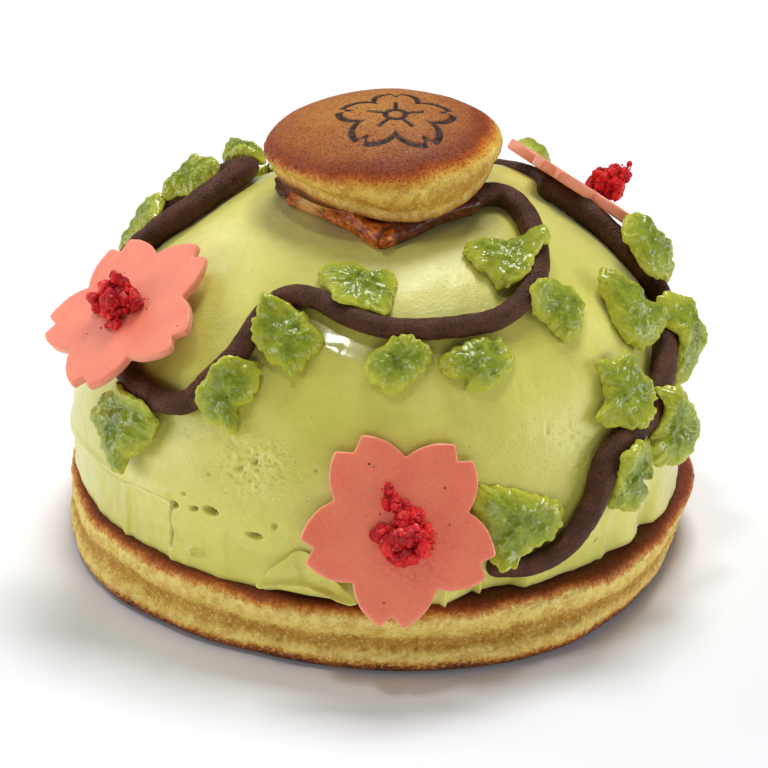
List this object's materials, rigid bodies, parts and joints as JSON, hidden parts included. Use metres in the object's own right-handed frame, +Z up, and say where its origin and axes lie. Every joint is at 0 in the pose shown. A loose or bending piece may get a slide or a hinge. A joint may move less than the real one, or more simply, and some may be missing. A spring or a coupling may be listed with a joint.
{
  "type": "matcha cream dome cake",
  "caption": "Matcha cream dome on a browned pancake base, with a mini pancake cap, chocolate vines, green paste leaves and cherry-blossom plaques",
  "frame": {"origin": "centre of the base's flat underside", "axes": "+Z up, -Y the front that the picture looks at, +X to the viewer's right"},
  "size_m": [0.0874, 0.0978, 0.06],
  "materials": {
    "pancake": "baked sponge, browned on both faces, pale and pored at its side",
    "cream": "smooth matcha cream with a soft wet gloss",
    "cap": "baked pancake skin, tan brown with a darker ring near its edge",
    "caramel": "glossy caramelised pastry, flaky at its torn edges",
    "chocolate": "satin dark piped chocolate paste with fine cross wrinkles",
    "leaf": "wet lumpy green paste, lighter at its thin rims",
    "blossom": "fine-grained matt salmon pink",
    "raspberry": "dry crumbly freeze-dried raspberry"
  },
  "bodies": {
    "root": {"pancake_base": "pancake", "cream_dome": "cream", "caramel_slice": "caramel", "cap_pancake": "cap", "vine_front": "chocolate", "vine_right": "chocolate", "vine_back": "chocolate", "leaf_left_1": "leaf", "leaf_left_2": "leaf", "leaf_left_3": "leaf", "leaf_left_4": "leaf", "leaf_front_1": "leaf", "leaf_front_2": "leaf", "leaf_front_3": "leaf", "leaf_front_4": "leaf", "leaf_front_5": "leaf", "leaf_front_6": "leaf", "leaf_right_1": "leaf", "leaf_right_2": "leaf", "leaf_right_3": "leaf", "leaf_right_4": "leaf", "leaf_right_5": "leaf", "leaf_right_6": "leaf", "leaf_right_7": "leaf", "leaf_right_8": "leaf", "leaf_right_9": "leaf", "leaf_back_1": "leaf", "leaf_back_2": "leaf", "leaf_back_3": "leaf", "leaf_back_4": "leaf", "leaf_back_5": "leaf", "leaf_back_6": "leaf", "leaf_back_7": "leaf", "leaf_back_8": "leaf", "blossom_front": "blossom", "crumbs_front": "raspberry", "blossom_left": "blossom", "crumbs_left": "raspberry", "blossom_right": "blossom", "crumbs_right": "raspberry", "blossom_back": "blossom", "crumbs_back": "raspberry"}
  },
  "joints": []
}
